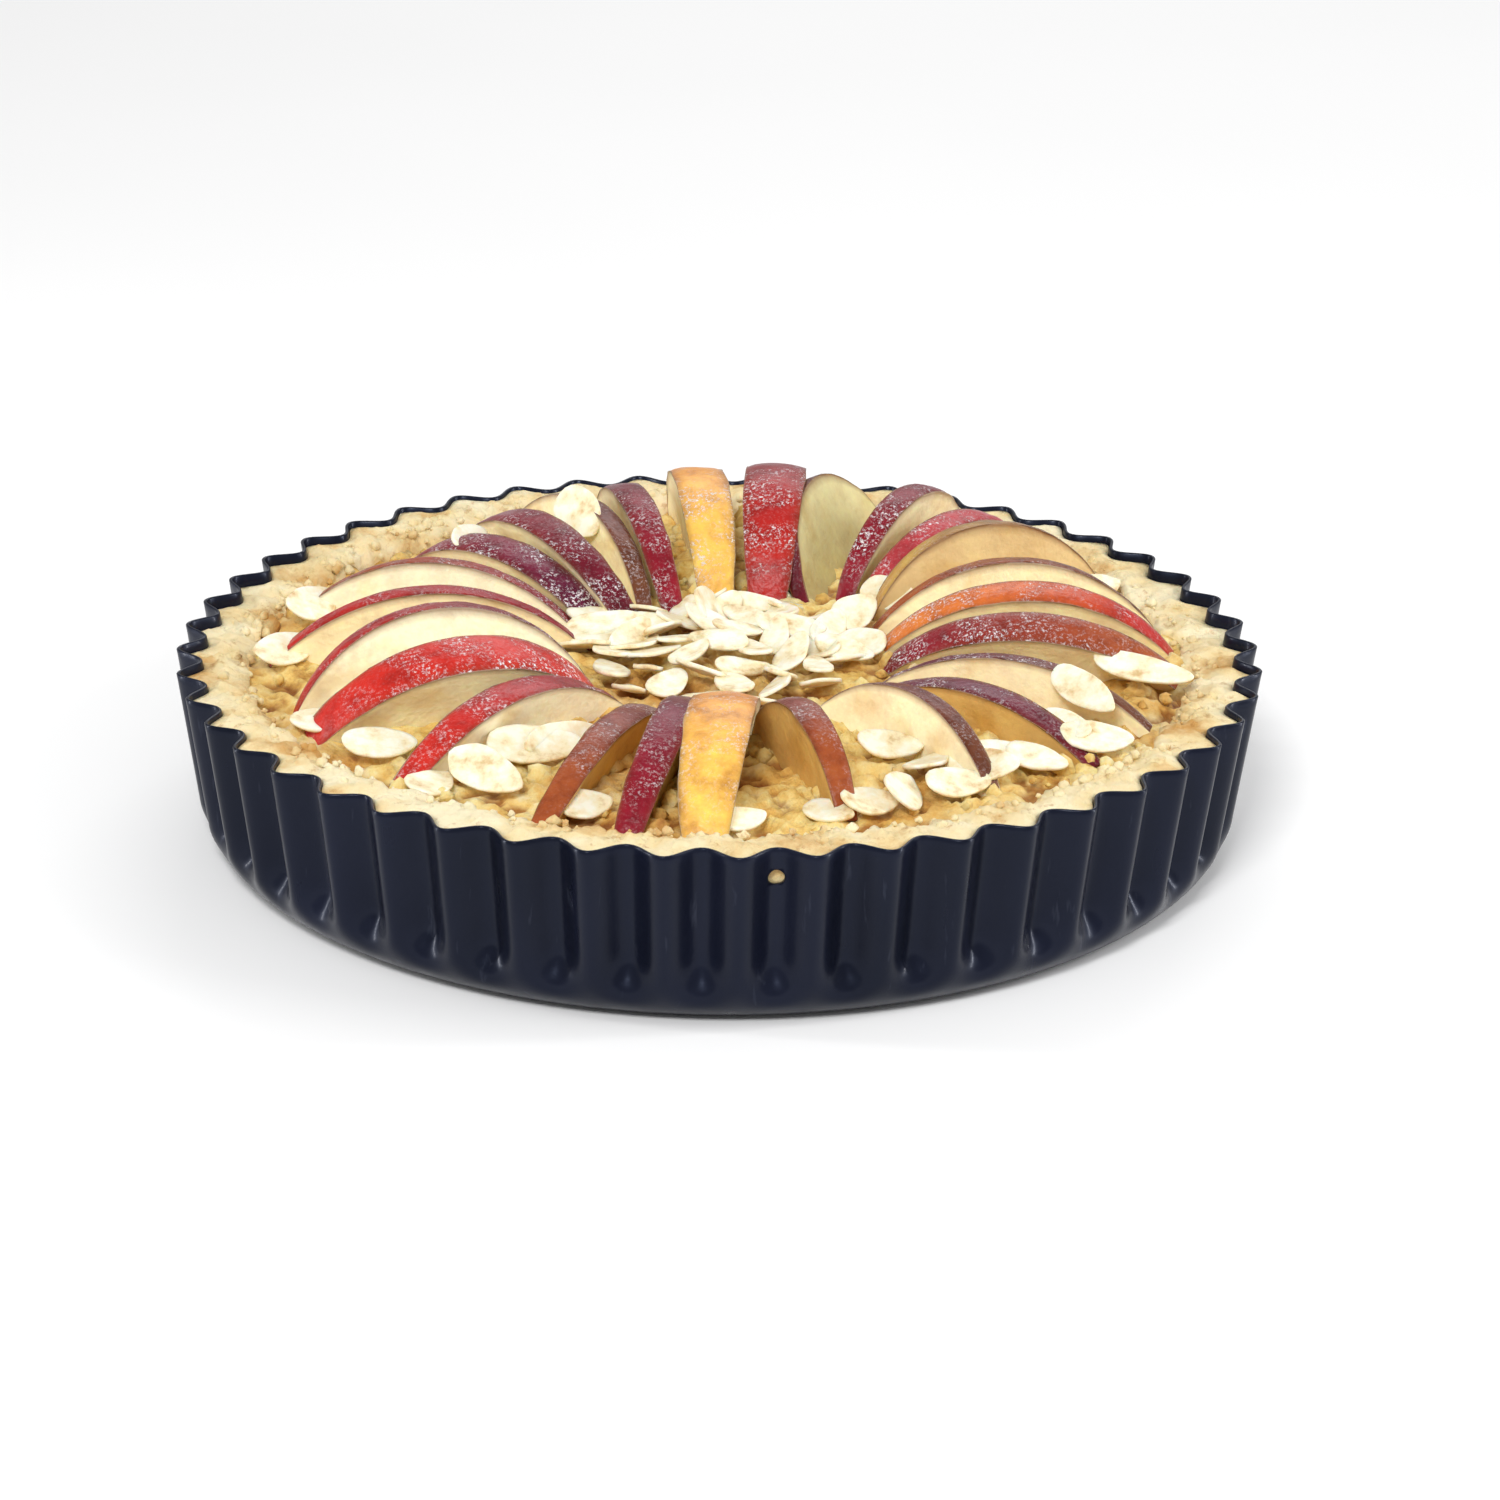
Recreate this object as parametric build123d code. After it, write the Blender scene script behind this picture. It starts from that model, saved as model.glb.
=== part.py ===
from build123d import *
import math
import os

# Fluted loose-base tart pan with an apple and almond tart in it.
# Millimetres. +Z is up and the origin is the centre of the pan's underside.
# Angles are in degrees round the pan, 0 at the front (-Y) and growing towards +X.

# ---- pan ----
rim_radius = 125.0          # to the outermost crest of the flutes at the rim
pan_height = 42.0
flutes = 48
flute_depth = 5.4           # crest to valley
flute_start = 2.3           # angle of the first crest
flute_full = 15.0           # height above which the flutes have their whole depth
flute_end = 4.5             # height below which the wall is smooth
sheet = 0.8                 # thickness of the coated steel
draft = 8.2                 # lean of the wall away from vertical
corner_radius = 12.0        # rounded corner between wall and underside
lip_width = 7.5             # inward lip that carries the loose base
base_gap = 1.0              # between the edge of the base and the ring's corner
base_sheet = 0.8
hole_diameter = 3.6         # small round hole in a valley near the rim
hole_drop = 7.0             # hole centre below the rim
hole_valley = 0             # which valley, counted from the first crest

# ---- tart ----
fit = 0.3                   # clear gap between pastry and metal
crust_drop = 0.6            # top of the pastry below the rim
crust_width = 9.0           # width of the pastry's edge, from the flute valleys inward
crust_lean = 8.0            # lean of the pastry's inner face
crust_floor = 4.0
filling_drop = 5.0          # top of the filling below the rim
slice_seat = 8.0            # depth of the slices' core edge under the filling
slice_taper = 6.0           # how much shorter a slice is at its core edge
core_depth = 6.0            # core cut away from each apple slice
flake_length = 18.0
flake_width = 10.0
flake_thickness = 0.9

points_per_flute = 8
corner_steps = 8

# Each apple slice, where it leaves the filling: outer radius and angle, inner radius
# and angle; then its top above the rim, the width of its skin and its sideways lean.
slices = [
    (108, -1.5, 38, 6, 14, 15, 0),
    (96, 17, 45, 12, 12, 7, 0),
    (98, 38, 37, 38, 10, 6, -12),
    (102, 55, 38, 59, 6, 8, 0),
    (105, 69, 38, 74, 7, 6, -8),
    (107, 86, 38, 91, 11, 10, 22),
    (107, 96, 38, 106, 13, 9, 12),
    (107, 106, 40, 120, 13, 6, -8),
    (107, 120, 46, 130, 16, 6, -12),
    (108, 136, 48, 137, 14, 7, 10),
    (108, 147, 48, 143, 17, 7, 5),
    (108, 158, 46, 154, 18, 6, -30),
    (108, 172, 44, 165, 18, 15, 0),
    (108, -175, 40, -179, 17, 13, 0),
    (106, -164, 32, -161, 15, 8, -5),
    (107, -151, 33, -149, 14, 6, 12),
    (104, -143, 29, -138, 13, 9, -10),
    (100, -130, 36, -131, 10, 10, -10),
    (105, -107, 38, -122, 11, 6, 8),
    (104, -89, 32, -109, 12, 6, 0),
    (101, -71, 32, -68, 17, 7, 10),
    (103, -62, 33, -54, 14, 13, -18),
    (103, -42, 33, -44, 9, 9, -5),
    (106, -21, 34, -20, 7, 7, -10),
    (106, -10.5, 34, -6, 11, 9, -8),
]

# Almond flakes that lie between the slices: radius, angle, turn of the long side.
scattered = [
    (95, 3, 40),
    (94, 19, 100),
    (93, 26, 10),
    (70, 30, 60),
    (95, 33, 120),
    (84, 48, 150),
    (97, 47, 30),
    (85, 63, 70),
    (99, 80, 165),
    (102, 116, 130),
    (86, -127, 60),
    (101, -98, 100),
    (101, -80, 70),
    (95, -52, 20),
    (91, -33, 140),
    (68, -31, 60),
    (95, -16, 95),
]

# Layers of the heap of flakes in the middle: radius, number of flakes, first angle.
heap = [
    (22, 7, 10),
    (13, 4, 35),
    (6, 2, 80),
    (0, 1, 20),
]


def polar(radius, angle, z=0.0):
    turn = math.radians(angle)
    return Vector(radius * math.sin(turn), -radius * math.cos(turn), z)


# ---- the fluted wall: wavy lines, one flute long, joined up the wall and repeated round it ----
def wall_radius(z):
    return rim_radius - (pan_height - z) * math.tan(math.radians(draft))


def corner_top():
    return corner_radius * (1 - math.sin(math.radians(draft)))


def floor_radius():
    return wall_radius(corner_top()) - corner_radius * math.cos(math.radians(draft))


def depth_at(z):
    """Flute depth at a height: the flutes run out smoothly over the corner."""
    share = min(1.0, max(0.0, (z - flute_end) / (flute_full - flute_end)))
    return flute_depth * share * share * (3 - 2 * share)


def throat_radius():
    """Radius of the valleys where they stand furthest in."""
    return wall_radius(flute_full) - flute_depth


def corner_section(angle, released):
    """Crest radius, flute depth and height where the corner has turned to this angle.

    Released, no part of it is wider than the valleys above, so that it lifts straight out.
    """
    turn = math.radians(angle)
    radius = floor_radius() + corner_radius * math.cos(turn)
    z = corner_radius * (1 - math.sin(turn))
    depth = depth_at(z)
    if released:
        depth = max(depth, radius - throat_radius())
    return radius, depth, z


def flute_line(crest, depth, inset, z):
    """One flute from valley to valley, moved inward from the wall's outside by inset."""
    points = []
    for step in range(points_per_flute + 1):
        angle = flute_start + 360 / flutes * (step / points_per_flute - 0.5)
        phase = math.radians(flutes * (angle - flute_start))
        radius = crest - depth / 2 * (1 - math.cos(phase))
        slope = -depth / 2 * flutes * math.sin(phase)
        stretch = math.hypot(radius, slope)
        outward = polar(radius - inset * radius / stretch, angle)
        sideways = polar(inset * slope / stretch, angle + 90)
        points.append(outward + sideways + Vector(0, 0, z))
    side = 180 / flutes
    ends = [polar(1, flute_start - side + 90), polar(1, flute_start + side + 90)]
    return Edge.make_spline(points, tangents=ends)


def wall_lines(inset, bottom_angle, top, released=False):
    """One flute's lines from the corner up to the top, all set in by the same inset."""
    lines = []
    for step in range(corner_steps + 1):
        angle = bottom_angle + (draft - bottom_angle) * step / corner_steps
        turn = math.radians(angle)
        crest, depth, z = corner_section(angle, released)
        height = z + inset * math.sin(turn)
        lines.append(flute_line(crest, depth, inset * math.cos(turn), height))
    for z in (flute_full, top):
        lines.append(flute_line(wall_radius(z), flute_depth, inset, z))
    return lines


def all_round(shape):
    return [Rot(0, 0, 360 * number / flutes) * shape for number in range(flutes)]


def rim_loop(line):
    return Wire(all_round(line))


def fluted_faces(lines):
    faces = []
    for lower, upper in zip(lines, lines[1:]):
        faces += all_round(Face.make_surface_from_curves(lower, upper))
    return faces


# ---- the pan ----
def fluted_ring():
    """The wall and its inward lip, one skin outside and one inside, closed at rim and lip."""
    outer = wall_lines(0, 90, pan_height)
    inner = wall_lines(sheet, 90, pan_height)
    lip = Solid.make_cylinder(floor_radius() - lip_width, sheet)
    ends = lip.faces().filter_by(GeomType.PLANE).sort_by(Axis.Z)
    faces = fluted_faces(outer) + fluted_faces(inner)
    faces += lip.faces().filter_by(GeomType.CYLINDER)
    faces.append(Face(rim_loop(outer[-1]), [rim_loop(inner[-1])]))
    faces.append(Face(rim_loop(outer[0]), [ends[0].outer_wire()]))
    faces.append(Face(rim_loop(inner[0]), [ends[-1].outer_wire()]))
    return Solid(Shell(faces)) - hole_drill()


def hole_drill():
    """Cutter for the round hole through one valley of the wall."""
    valley = flute_start + 360 / flutes * (hole_valley + 0.5)
    height = pan_height - hole_drop
    start = wall_radius(height) - 3 * flute_depth
    place = Plane(polar(start, valley, height), z_dir=polar(1, valley))
    return Solid.make_cylinder(hole_diameter / 2, 4 * flute_depth, place)


def loose_base():
    """A flat disc that lies on the ring's lip."""
    return Pos(0, 0, sheet) * extrude(Circle(floor_radius() - base_gap), base_sheet)


# ---- pastry and filling ----
def base_top():
    return sheet + base_sheet


def crust_top():
    return pan_height - crust_drop


def cavity_radius(z):
    """Inside radius of the pastry at a height."""
    top = wall_radius(pan_height) - flute_depth - sheet - fit - crust_width
    return top - (crust_top() - z) * math.tan(math.radians(crust_lean))


def cavity_floor():
    return base_top() + crust_floor


def filling_top():
    return pan_height - filling_drop


def cavity_cone(top):
    low = cavity_floor()
    place = Plane((0, 0, low))
    return Solid.make_cone(cavity_radius(low), cavity_radius(top), top - low, place)


def pastry_shell():
    """Pastry in the shape of the flutes, standing on the loose base; low down it is clear
    of the hollows behind the ends of the flutes, so it lifts out."""
    inset = sheet + fit
    bottom_sine = (corner_radius - base_top()) / (corner_radius - inset)
    lines = wall_lines(inset, math.degrees(math.asin(bottom_sine)), crust_top(), released=True)
    ends = [Face(rim_loop(lines[0])), Face(rim_loop(lines[-1]))]
    body = Solid(Shell(fluted_faces(lines) + ends))
    return body - cavity_cone(crust_top() + 1)


# ---- apple slices ----
def apple_slice(outer_radius, outer_angle, inner_radius, inner_angle, crest, skin, lean):
    """A half-moon wedge: skin along the bow, two cut faces, core edge down in the filling."""
    outer = polar(outer_radius, outer_angle, filling_top())
    inner = polar(inner_radius, inner_angle, filling_top())
    along = outer - inner
    half = along.length / 2
    foot = half - slice_taper
    level = slice_seat + core_depth
    top = level + pan_height + crest - filling_top()
    bow = ThreePointArc((-half, level), (0, top), (half, level))
    under = Polyline((half, level), (foot, core_depth), (-foot, core_depth), (-half, level))
    wedge = math.degrees(skin / top)
    body = revolve(Plane.XZ * make_face(bow + under), Axis.X, wedge)
    body = Rot(lean, 0, 0) * Pos(0, 0, -level) * Rot(-wedge / 2, 0, 0) * body
    return Plane((inner + outer) * 0.5, x_dir=along, z_dir=(0, 0, 1)) * body


# ---- almond flakes ----
def flake(radius, angle, turn, z):
    body = extrude(Ellipse(flake_length / 2, flake_width / 2), flake_thickness)
    return Pos(*polar(radius, angle, z)) * Rot(0, 0, turn) * body


def centre_flakes():
    """A low heap in which each layer lies on the one below."""
    pieces = []
    for layer, (radius, count, start) in enumerate(heap):
        z = filling_top() + layer * flake_thickness
        for number in range(count):
            angle = start + 360 * number / count
            pieces.append(flake(radius, angle, angle + 25, z))
    return pieces


def scattered_flakes():
    return [flake(radius, angle, turn, filling_top()) for radius, angle, turn in scattered]


# ---- fitting the food together: where two pieces meet, the later one gives way ----
def boxes_meet(one, other):
    apart_x = one.min.X > other.max.X or other.min.X > one.max.X
    apart_y = one.min.Y > other.max.Y or other.min.Y > one.max.Y
    apart_z = one.min.Z > other.max.Z or other.min.Z > one.max.Z
    return not (apart_x or apart_y or apart_z)


def cut_by(shape, cutters):
    box = shape.bounding_box()
    near = [tool for tool in cutters if boxes_meet(box, tool.bounding_box())]
    rest = shape - near if near else shape
    return max(rest.solids(), key=lambda solid: solid.volume)


def fitted(pieces, neighbours):
    """The pieces cut by their neighbours and by the pieces placed before them."""
    placed = []
    for piece in pieces:
        placed.append(cut_by(piece, neighbours + placed))
    return placed


def save(shape, name):
    export_step(shape, f"parts/{name}.step")


os.makedirs("parts", exist_ok=True)

apple = fitted([apple_slice(*values) for values in slices], [])
flakes = fitted(centre_flakes() + scattered_flakes(), apple)
heap_size = len(centre_flakes())

save(fluted_ring(), "fluted_ring")
save(loose_base(), "loose_base")
save(pastry_shell(), "pastry_shell")
save(cut_by(cavity_cone(filling_top()), apple), "almond_filling")
for number, body in enumerate(apple, start=1):
    save(body, f"apple_slice_{number:02d}")
save(Compound(flakes[:heap_size]), "centre_flakes")
save(Compound(flakes[heap_size:]), "scattered_flakes")
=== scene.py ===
# %% [markdown]
# # A fluted tart pan with an apple and almond tart
# The pan is two pieces of pressed, coated steel: a ring with a fluted wall, and a loose
# disc that lies on the ring's inward lip. The tart stands on the disc and lifts out.
# Everything here is in metres and sits in the frame of the CAD model, which is loaded first.

# %% Load the frame
import math
import random

import bpy
from mathutils import Matrix, Vector, noise


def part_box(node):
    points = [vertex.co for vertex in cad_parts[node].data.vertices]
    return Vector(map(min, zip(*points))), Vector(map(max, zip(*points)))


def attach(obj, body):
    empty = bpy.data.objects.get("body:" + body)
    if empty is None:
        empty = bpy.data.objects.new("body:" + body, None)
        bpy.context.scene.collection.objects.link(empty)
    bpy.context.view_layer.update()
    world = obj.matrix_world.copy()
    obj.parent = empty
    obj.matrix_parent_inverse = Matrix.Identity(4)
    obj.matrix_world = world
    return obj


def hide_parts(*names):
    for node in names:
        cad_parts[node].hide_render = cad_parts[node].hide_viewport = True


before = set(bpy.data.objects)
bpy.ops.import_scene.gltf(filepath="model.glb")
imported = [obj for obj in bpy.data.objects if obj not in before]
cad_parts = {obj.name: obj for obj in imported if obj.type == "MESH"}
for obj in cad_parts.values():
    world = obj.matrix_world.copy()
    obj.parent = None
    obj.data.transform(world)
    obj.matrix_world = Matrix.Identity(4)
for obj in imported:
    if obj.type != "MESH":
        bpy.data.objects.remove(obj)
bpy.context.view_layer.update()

# %% [markdown]
# ## Where things are
# The CAD nodes give the heights of the rim, the filling and the base. The rest are the same
# sizes that the pan was drawn with, so each mesh fills its CAD piece. Angles are in
# degrees round the pan, 0 at the front and growing towards +X.

# %% Main sizes
MM = 0.001
RIM_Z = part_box("fluted_ring")[1][2]
RIM_RADIUS = 125 * MM
FLUTES = 48
FLUTE_DEPTH = 5.4 * MM
FLUTE_FULL = 15 * MM
FLUTE_END = 4.5 * MM
FLUTE_START = 2.3
SHEET = 0.8 * MM
DRAFT = math.radians(8.2)
CORNER = 12 * MM
LIP = 7.5 * MM
HOLE_DROP = 7 * MM
HOLE_RADIUS = 1.8 * MM
FIT = 0.3 * MM
CRUST_WIDTH = 9 * MM
CRUST_FLOOR = 4 * MM
FILLING_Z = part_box("almond_filling")[1][2]
BASE_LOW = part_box("loose_base")[0][2]
BASE_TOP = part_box("loose_base")[1][2]
CAVITY_FLOOR = BASE_TOP + CRUST_FLOOR
corner_z = CORNER * (1 - math.sin(DRAFT))


def wall_radius(z):
    """Radius of the wall's outer skin, on the crests of the flutes, at height z."""
    return RIM_RADIUS - (RIM_Z - z) * math.tan(DRAFT)


FLOOR_RADIUS = wall_radius(corner_z) - CORNER * math.cos(DRAFT)
print("rim height", round(RIM_Z, 4), "flat bottom radius", round(FLOOR_RADIUS, 4))

# %% [markdown]
# ## Making a mesh from a grid
# Most pieces here are grids of points: rings round the pan, or sections along an apple
# slice. One helper turns rows of points into quads, a second closes both ends with a flat
# cap, and a third adds the object to the scene with smooth shading.

# %% Grid helper
def polar(radius, degrees, z=0.0):
    """A point at a radius and an angle round the pan."""
    turn = math.radians(degrees)
    return Vector((radius * math.sin(turn), -radius * math.cos(turn), z))


def grid_faces(rows, columns, close_rows=False, start=0):
    """Quads over rows x columns points; the columns always join up into a loop."""
    faces = []
    for row in range(rows if close_rows else rows - 1):
        upper = (row + 1) % rows
        for column in range(columns):
            right = (column + 1) % columns
            faces.append((start + row * columns + column, start + row * columns + right,
                          start + upper * columns + right, start + upper * columns + column))
    return faces


def tube_faces(rows, columns, start=0, flip=False):
    """A grid of loops with a cap on its first and its last row; flip turns each face over."""
    final = start + (rows - 1) * columns
    faces = grid_faces(rows, columns, start=start)
    faces.append(tuple(range(start + columns - 1, start - 1, -1)))
    faces.append(tuple(range(final, final + columns)))
    return [tuple(reversed(face)) for face in faces] if flip else faces


def add_mesh(name, points, faces, colours=None, masks=None):
    """A smooth mesh object; colours is one RGB per point, masks is one number per point."""
    mesh = bpy.data.meshes.new(name)
    mesh.from_pydata([tuple(point) for point in points], [], faces)
    if colours:
        layer = mesh.color_attributes.new("tint", "FLOAT_COLOR", "POINT")
        layer.data.foreach_set("color", [c for rgb in colours for c in (*rgb, 1.0)])
    for key, values in (masks or {}).items():
        layer = mesh.attributes.new(key, "FLOAT", "POINT")
        layer.data.foreach_set("value", values)
    mesh.polygons.foreach_set("use_smooth", [True] * len(mesh.polygons))
    mesh.update()
    piece = bpy.data.objects.new(name, mesh)
    bpy.context.scene.collection.objects.link(piece)
    return piece


print("a two-row grid of four columns has", len(grid_faces(2, 4)), "faces")

# %% [markdown]
# ## Nodes in a few words
# Every finish is a Principled shader fed by noise. These helpers add a noise texture, a
# colour ramp and a bump in one line each, so each material below reads like a recipe.

# %% Material helpers
class Finish:
    """A material under construction: its nodes, its links and its shader."""

    def __init__(self, name, roughness, **sockets):
        self.material = bpy.data.materials.new(name)
        self.material.use_nodes = True
        self.nodes = self.material.node_tree.nodes
        self.links = self.material.node_tree.links
        self.shader = self.nodes["Principled BSDF"]
        self.shader.inputs["Roughness"].default_value = roughness
        for socket, value in sockets.items():
            self.shader.inputs[socket.replace("_", " ")].default_value = value
        self.place = self.nodes.new("ShaderNodeTexCoord").outputs["Object"]

    def noise(self, scale, detail=4.0, stretch=None, rough=0.5):
        texture = self.nodes.new("ShaderNodeTexNoise")
        texture.inputs["Scale"].default_value = scale
        texture.inputs["Detail"].default_value = detail
        texture.inputs["Roughness"].default_value = rough
        source = self.place
        if stretch:
            mapping = self.nodes.new("ShaderNodeMapping")
            mapping.inputs["Scale"].default_value = stretch
            self.links.new(source, mapping.inputs["Vector"])
            source = mapping.outputs["Vector"]
        self.links.new(source, texture.inputs["Vector"])
        return texture.outputs["Fac"]

    def cells(self, scale):
        texture = self.nodes.new("ShaderNodeTexVoronoi")
        texture.inputs["Scale"].default_value = scale
        self.links.new(self.place, texture.inputs["Vector"])
        return texture.outputs["Distance"]

    def attribute(self, name, output="Fac"):
        node = self.nodes.new("ShaderNodeAttribute")
        node.attribute_name = name
        return node.outputs[output]

    def ramp(self, value, *stops):
        node = self.nodes.new("ShaderNodeValToRGB")
        elements = node.color_ramp.elements
        while len(elements) < len(stops):
            elements.new(0.5)
        for element, (position, colour) in zip(elements, stops):
            rgb = colour if isinstance(colour, tuple) else (colour,) * 3
            element.position = position
            element.color = (*rgb, 1.0)
        self.links.new(value, node.inputs["Fac"])
        return node.outputs["Color"]

    def combine(self, operation, one, two):
        node = self.nodes.new("ShaderNodeMath")
        node.operation = operation
        node.use_clamp = True
        for socket, value in zip(node.inputs, (one, two)):
            if isinstance(value, float):
                socket.default_value = value
            else:
                self.links.new(value, socket)
        return node.outputs["Value"]

    def mix(self, factor, one, two, blend="MIX"):
        node = self.nodes.new("ShaderNodeMix")
        node.data_type = "RGBA"
        node.blend_type = blend
        for socket, value in ((0, factor), (6, one), (7, two)):
            if isinstance(value, float):
                node.inputs[socket].default_value = value
            elif isinstance(value, tuple):
                node.inputs[socket].default_value = (*value, 1.0)
            else:
                self.links.new(value, node.inputs[socket])
        return node.outputs[2]

    def colour(self, value):
        self.links.new(value, self.shader.inputs["Base Color"])

    def rough(self, value):
        self.links.new(value, self.shader.inputs["Roughness"])

    def bump(self, height, distance, strength=1.0):
        node = self.nodes.new("ShaderNodeBump")
        node.inputs["Distance"].default_value = distance
        node.inputs["Strength"].default_value = strength
        self.links.new(height, node.inputs["Height"])
        previous = self.shader.inputs["Normal"].links
        if previous:
            self.links.new(previous[0].from_socket, node.inputs["Normal"])
        self.links.new(node.outputs["Normal"], self.shader.inputs["Normal"])

    def facing_up(self):
        """From -1 where the surface faces down to 1 where it faces up."""
        geometry = self.nodes.new("ShaderNodeNewGeometry")
        split = self.nodes.new("ShaderNodeSeparateXYZ")
        self.links.new(geometry.outputs["Normal"], split.inputs["Vector"])
        return split.outputs["Z"]


print("finish helper ready")

# %% [markdown]
# ## Non-stick steel
# The coating is a thin satin film, nearly black with a blue cast. It is sprayed, so it has
# a fine orange-peel texture, faint streaks from wiping and small scuffs where tins are
# stacked. A soft coat layer gives it the second, sharper sheen that such films have.

# %% Coated steel finish
steel = Finish("nonstick_coating", 0.4, Metallic=0.0, Specular_IOR_Level=0.2,
               Coat_Weight=0.12, Coat_Roughness=0.16)
steel.shader.inputs["Specular Tint"].default_value = (0.55, 0.66, 1.0, 1.0)
broad = steel.noise(30.0, 5.0, stretch=(1, 1, 0.4))
steel_colour = steel.ramp(broad, (0.3, (0.0020, 0.0028, 0.0075)), (0.7, (0.0055, 0.0068, 0.0165)))
scuffs = steel.ramp(steel.noise(420.0, 3.0, stretch=(1, 1, 0.12)), (0.66, 0.0), (0.78, 1.0))
steel_colour = steel.mix(steel.combine("MULTIPLY", scuffs, 0.22), steel_colour, (0.09, 0.10, 0.14))
steel.colour(steel_colour)
steel.rough(steel.ramp(steel.noise(140.0, 6.0, stretch=(1, 1, 0.3)), (0.3, 0.26), (0.75, 0.42)))
steel.bump(steel.noise(1500.0, 3.0), 0.00003, 0.6)
steel.bump(steel.noise(60.0, 3.0), 0.0004, 0.25)
print("finish:", steel.material.name)

# %% [markdown]
# ## The fluted ring
# A press draws the wall from one sheet: 48 flutes that lean outward, fade out over the
# rounded bottom corner and end in a flat lip. The mesh follows one section from the lip,
# up the outside, over the thin cut rim and down the inside, swept round with the flute
# wave added to its radius. A grid is the best way, because it keeps the sheet's thickness.

# %% Section of the sheet
WALL_STEPS = 14
CORNER_STEPS = 14
AROUND = FLUTES * 18


def flute_depth_at(z):
    """The flutes run out smoothly as the wall turns under."""
    share = min(1.0, max(0.0, (z - FLUTE_END) / (FLUTE_FULL - FLUTE_END)))
    return FLUTE_DEPTH * share * share * (3 - 2 * share)


def sheet_section(inset, low_angle=90.0, top=None, released=False):
    """Points (radius, flute depth, height) from the corner's foot up to the top.

    Released, nothing is wider than the valleys above it, so that it lifts straight out.
    """
    throat = wall_radius(FLUTE_FULL) - FLUTE_DEPTH
    top = RIM_Z if top is None else top
    draft = math.degrees(DRAFT)
    rows = []
    for step in range(CORNER_STEPS + 1):
        angle = low_angle + (draft - low_angle) * step / CORNER_STEPS
        turn = math.radians(angle)
        skin_z = CORNER * (1 - math.sin(turn))
        radius = FLOOR_RADIUS + (CORNER - inset) * math.cos(turn)
        depth = flute_depth_at(skin_z)
        if released:
            depth = max(depth, FLOOR_RADIUS + CORNER * math.cos(turn) - throat)
        rows.append((radius, depth, skin_z + inset * math.sin(turn)))
    start = rows[-1][2]
    for step in range(1, WALL_STEPS + 1):
        z = start + (top - start) * step / WALL_STEPS
        depth = flute_depth_at(z)
        if released and z < FLUTE_FULL:
            depth = max(depth, wall_radius(z) - throat)
        rows.append((wall_radius(z) - inset / math.cos(DRAFT), depth, z))
    return rows


def fluted_point(radius, depth, z, inset, degrees):
    """A point on the flute wave; inset narrows the wave so the sheet keeps its thickness."""
    phase = math.radians(FLUTES * (degrees - FLUTE_START))
    slope = depth / 2 * FLUTES / RIM_RADIUS * math.sin(phase)
    spread = inset * (math.hypot(1, slope) - 1)
    return polar(radius - depth / 2 * (1 - math.cos(phase)) - spread, degrees, z)


print("rows up one skin of the wall:", len(sheet_section(0.0)))

# %% [markdown]
# A real cut edge is never quite square, so the section has small chamfers where the sheet
# ends, at the rim and at the lip. Each row of the section becomes one ring of points.

# %% Build the ring
outside = sheet_section(0.0)
inside = sheet_section(SHEET)
CHAMFER = SHEET * 0.28
outside[-1] = (outside[-1][0], outside[-1][1], RIM_Z - CHAMFER)
inside[-1] = (inside[-1][0], inside[-1][1], RIM_Z - CHAMFER)
rim = [(outside[-1][0] - CHAMFER, FLUTE_DEPTH, RIM_Z), (inside[-1][0] + CHAMFER, FLUTE_DEPTH, RIM_Z)]
lip_radius = FLOOR_RADIUS - LIP
lip_middle = lip_radius + LIP * 0.5
lip_under = [(lip_radius + CHAMFER, 0, 0), (lip_middle, 0, 0)]
lip_over = [(lip_middle, 0, SHEET), (lip_radius + CHAMFER, 0, SHEET)]
lip_end = [(lip_radius, 0, SHEET - CHAMFER), (lip_radius, 0, CHAMFER)]
section = lip_under + outside + rim + inside[::-1] + lip_over + lip_end
insets = [0] * (len(lip_under) + len(outside)) + [CHAMFER, SHEET - CHAMFER] + [SHEET] * len(inside)
insets += [0] * (len(lip_over) + len(lip_end))
ring_points = []
for (radius, depth, z), inset in zip(section, insets):
    for number in range(AROUND):
        ring_points.append(fluted_point(radius, depth, z, inset, 360 * number / AROUND))
ring = add_mesh("pan_fluted_ring", ring_points, grid_faces(len(section), AROUND, close_rows=True))
print("ring:", len(section), "rows round a closed section of", SHEET / MM, "mm sheet")

# %% [markdown]
# One small round hole is punched through a valley of the wall, just under the rim. A
# Boolean with a short round bar cuts it, and the modifier is applied, so that what is
# left is plain mesh.

# %% Punch the hole
PUNCH_SIDES = 40
hole_angle = FLUTE_START + 180 / FLUTES
hole_z = RIM_Z - HOLE_DROP
punch_rows = []
for reach in (-3 * FLUTE_DEPTH, FLUTE_DEPTH):
    centre = polar(wall_radius(hole_z) + reach, hole_angle, hole_z)
    across = polar(1, hole_angle + 90)
    for number in range(PUNCH_SIDES):
        turn = math.radians(360 * number / PUNCH_SIDES)
        spoke = across * math.cos(turn) + Vector((0, 0, math.sin(turn)))
        punch_rows.append(centre + spoke * HOLE_RADIUS)
punch = add_mesh("punch", punch_rows, tube_faces(2, PUNCH_SIDES))


def applied(piece):
    """Replace the piece's mesh by what its modifiers make of it."""
    graph = bpy.context.evaluated_depsgraph_get()
    mesh = bpy.data.meshes.new_from_object(piece.evaluated_get(graph))
    piece.modifiers.clear()
    piece.data = mesh
    return piece


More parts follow.
